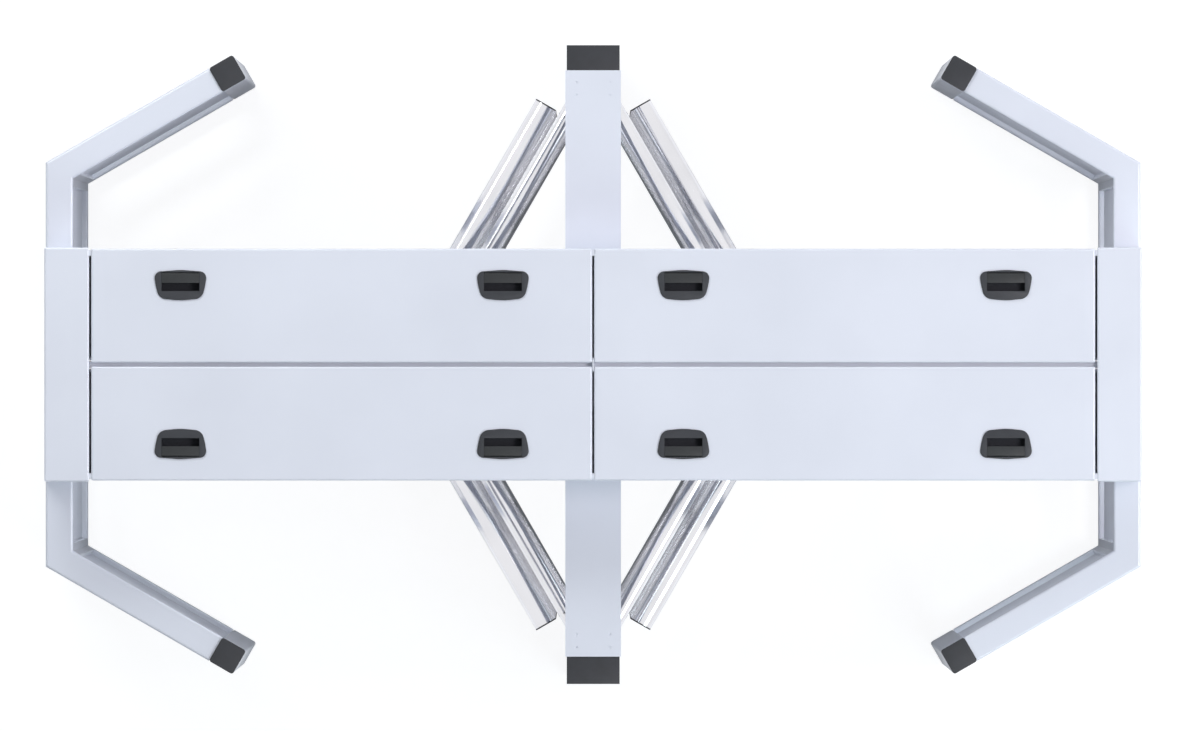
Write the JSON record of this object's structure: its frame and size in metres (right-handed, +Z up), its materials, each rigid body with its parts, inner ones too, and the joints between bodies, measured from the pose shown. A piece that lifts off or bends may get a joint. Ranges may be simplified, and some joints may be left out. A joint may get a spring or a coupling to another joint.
{
  "type": "full height turnstile",
  "caption": "Double full height turnstile: three-winged tube rotors, six-sided barriers, combs on centre posts, and a roof with hinged lids over locks and dampers",
  "frame": {"origin": "centre of the footprint, on the floor", "axes": "+Z up, +X along the roof from the left to the right rotor, +Y to the rear"},
  "size_m": [2.4, 1.4, 2.3],
  "materials": {
    "body_paint": "satin powder coat, pale bluish grey",
    "polished_tube": "mirror polished stainless steel",
    "cap_plastic": "moulded, fine grain, dark grey",
    "latch_plastic": "moulded, fine grain, dark grey",
    "paddle_plastic": "moulded, satin, dark grey",
    "turned_steel": "turned and ground steel",
    "plated_steel": "zinc plated, dull",
    "gear_brass": "milled brass",
    "device_case": "moulded, black",
    "supply_case": "anodised, perforated look"
  },
  "bodies": {
    "frame": {"left_side_rails": "body_paint", "right_side_rails": "body_paint", "left_side_posts": "body_paint", "right_side_posts": "body_paint", "left_barrier_tubes": "body_paint", "right_barrier_tubes": "body_paint", "post_caps": "cap_plastic", "centre_posts": "body_paint", "centre_beam": "body_paint", "beam_covers": "body_paint", "beam_cover_screws": "turned_steel", "left_comb_tubes": "polished_tube", "right_comb_tubes": "polished_tube", "comb_plugs": "cap_plastic", "roof_tray": "body_paint", "roof_spine": "body_paint", "end_covers": "body_paint", "lid_pivot_pins": "turned_steel", "mechanism_plates": "plated_steel", "top_bearings": "turned_steel", "lock_solenoids": "device_case", "rotary_dampers": "device_case", "control_box": "device_case", "power_supply": "supply_case", "floor_bearings": "plated_steel"},
    "left_rotor": {"left_rotor_column": "polished_tube", "left_wing_tubes": "polished_tube", "left_wing_plugs": "cap_plastic", "left_spindles": "turned_steel", "left_lock_wheel": "plated_steel", "left_drive_gear": "gear_brass"},
    "left_damper_pinion": {"left_pinion": "turned_steel"},
    "left_rear_lock_pawl": {"left_rear_pawl": "plated_steel"},
    "left_rear_lid_door": {"left_rear_lid": "body_paint", "left_rear_bezels": "latch_plastic"},
    "left_rear_outer_latch": {"left_rear_outer_paddle": "paddle_plastic"},
    "left_rear_inner_latch": {"left_rear_inner_paddle": "paddle_plastic"},
    "left_front_lock_pawl": {"left_front_pawl": "plated_steel"},
    "left_front_lid_door": {"left_front_lid": "body_paint", "left_front_bezels": "latch_plastic"},
    "left_front_outer_latch": {"left_front_outer_paddle": "paddle_plastic"},
    "left_front_inner_latch": {"left_front_inner_paddle": "paddle_plastic"},
    "right_rotor": {"right_rotor_column": "polished_tube", "right_wing_tubes": "polished_tube", "right_wing_plugs": "cap_plastic", "right_spindles": "turned_steel", "right_lock_wheel": "plated_steel", "right_drive_gear": "gear_brass"},
    "right_damper_pinion": {"right_pinion": "turned_steel"},
    "right_rear_lock_pawl": {"right_rear_pawl": "plated_steel"},
    "right_rear_lid_door": {"right_rear_lid": "body_paint", "right_rear_bezels": "latch_plastic"},
    "right_rear_outer_latch": {"right_rear_outer_paddle": "paddle_plastic"},
    "right_rear_inner_latch": {"right_rear_inner_paddle": "paddle_plastic"},
    "right_front_lock_pawl": {"right_front_pawl": "plated_steel"},
    "right_front_lid_door": {"right_front_lid": "body_paint", "right_front_bezels": "latch_plastic"},
    "right_front_outer_latch": {"right_front_outer_paddle": "paddle_plastic"},
    "right_front_inner_latch": {"right_front_inner_paddle": "paddle_plastic"}
  },
  "joints": [
    {"name": "left_rotor_turn", "type": "hinge", "parent": "frame", "child": "left_rotor", "pos_m": [-0.433, 0, 1], "axis": [0, 0, 1], "continuous": true},
    {"name": "left_pinion_turn", "type": "hinge", "parent": "frame", "child": "left_damper_pinion", "pos_m": [-0.56925, 0, 2.195], "axis": [0, 0, 1], "continuous": true},
    {"name": "left_rear_pawl_lock", "type": "hinge", "parent": "frame", "child": "left_rear_lock_pawl", "pos_m": [-0.523, 0.118, 2.178], "axis": [0, 0, -1], "range_deg": [0, 7.5], "stiffness_Nm_per_rad": 0.5, "springref_deg": -11.46},
    {"name": "left_rear_lid_lift", "type": "hinge", "parent": "frame", "child": "left_rear_lid_door", "pos_m": [-0.54985, 0.0084, 2.292], "axis": [1, 0, 0], "range_deg": [0, 75]},
    {"name": "left_rear_outer_paddle_lift", "type": "hinge", "parent": "left_rear_lid_door", "child": "left_rear_outer_latch", "pos_m": [-0.90235, 0.1985, 2.296], "axis": [-1, 0, 0], "range_deg": [0, 40], "stiffness_Nm_per_rad": 0.05, "springref_deg": -22.92},
    {"name": "left_rear_inner_paddle_lift", "type": "hinge", "parent": "left_rear_lid_door", "child": "left_rear_inner_latch", "pos_m": [-0.19735, 0.1985, 2.296], "axis": [-1, 0, 0], "range_deg": [0, 40], "stiffness_Nm_per_rad": 0.05, "springref_deg": -22.92},
    {"name": "left_front_pawl_lock", "type": "hinge", "parent": "frame", "child": "left_front_lock_pawl", "pos_m": [-0.343, -0.118, 2.178], "axis": [0, 0, -1], "range_deg": [0, 7.5], "stiffness_Nm_per_rad": 0.5, "springref_deg": -11.46},
    {"name": "left_front_lid_lift", "type": "hinge", "parent": "frame", "child": "left_front_lid_door", "pos_m": [-0.54985, -0.0084, 2.292], "axis": [-1, 0, 0], "range_deg": [0, 75]},
    {"name": "left_front_outer_paddle_lift", "type": "hinge", "parent": "left_front_lid_door", "child": "left_front_outer_latch", "pos_m": [-0.90235, -0.1985, 2.296], "axis": [1, 0, 0], "range_deg": [0, 40], "stiffness_Nm_per_rad": 0.05, "springref_deg": -22.92},
    {"name": "left_front_inner_paddle_lift", "type": "hinge", "parent": "left_front_lid_door", "child": "left_front_inner_latch", "pos_m": [-0.19735, -0.1985, 2.296], "axis": [1, 0, 0], "range_deg": [0, 40], "stiffness_Nm_per_rad": 0.05, "springref_deg": -22.92},
    {"name": "right_rotor_turn", "type": "hinge", "parent": "frame", "child": "right_rotor", "pos_m": [0.433, 0, 1], "axis": [0, 0, 1], "continuous": true},
    {"name": "right_pinion_turn", "type": "hinge", "parent": "frame", "child": "right_damper_pinion", "pos_m": [0.56925, 0, 2.195], "axis": [0, 0, 1], "continuous": true},
    {"name": "right_rear_pawl_lock", "type": "hinge", "parent": "frame", "child": "right_rear_lock_pawl", "pos_m": [0.523, 0.118, 2.178], "axis": [0, 0, 1], "range_deg": [0, 7.5], "stiffness_Nm_per_rad": 0.5, "springref_deg": -11.46},
    {"name": "right_rear_lid_lift", "type": "hinge", "parent": "frame", "child": "right_rear_lid_door", "pos_m": [0.54985, 0.0084, 2.292], "axis": [1, 0, 0], "range_deg": [0, 75]},
    {"name": "right_rear_outer_paddle_lift", "type": "hinge", "parent": "right_rear_lid_door", "child": "right_rear_outer_latch", "pos_m": [0.90235, 0.1985, 2.296], "axis": [-1, 0, 0], "range_deg": [0, 40], "stiffness_Nm_per_rad": 0.05, "springref_deg": -22.92},
    {"name": "right_rear_inner_paddle_lift", "type": "hinge", "parent": "right_rear_lid_door", "child": "right_rear_inner_latch", "pos_m": [0.19735, 0.1985, 2.296], "axis": [-1, 0, 0], "range_deg": [0, 40], "stiffness_Nm_per_rad": 0.05, "springref_deg": -22.92},
    {"name": "right_front_pawl_lock", "type": "hinge", "parent": "frame", "child": "right_front_lock_pawl", "pos_m": [0.343, -0.118, 2.178], "axis": [0, 0, 1], "range_deg": [0, 7.5], "stiffness_Nm_per_rad": 0.5, "springref_deg": -11.46},
    {"name": "right_front_lid_lift", "type": "hinge", "parent": "frame", "child": "right_front_lid_door", "pos_m": [0.54985, -0.0084, 2.292], "axis": [-1, 0, 0], "range_deg": [0, 75]},
    {"name": "right_front_outer_paddle_lift", "type": "hinge", "parent": "right_front_lid_door", "child": "right_front_outer_latch", "pos_m": [0.90235, -0.1985, 2.296], "axis": [1, 0, 0], "range_deg": [0, 40], "stiffness_Nm_per_rad": 0.05, "springref_deg": -22.92},
    {"name": "right_front_inner_paddle_lift", "type": "hinge", "parent": "right_front_lid_door", "child": "right_front_inner_latch", "pos_m": [0.19735, -0.1985, 2.296], "axis": [1, 0, 0], "range_deg": [0, 40], "stiffness_Nm_per_rad": 0.05, "springref_deg": -22.92}
  ],
  "couplings": [
    {"joint": "left_pinion_turn", "follows": "left_rotor_turn", "ratio": -2.7778},
    {"joint": "right_pinion_turn", "follows": "right_rotor_turn", "ratio": -2.7778}
  ]
}
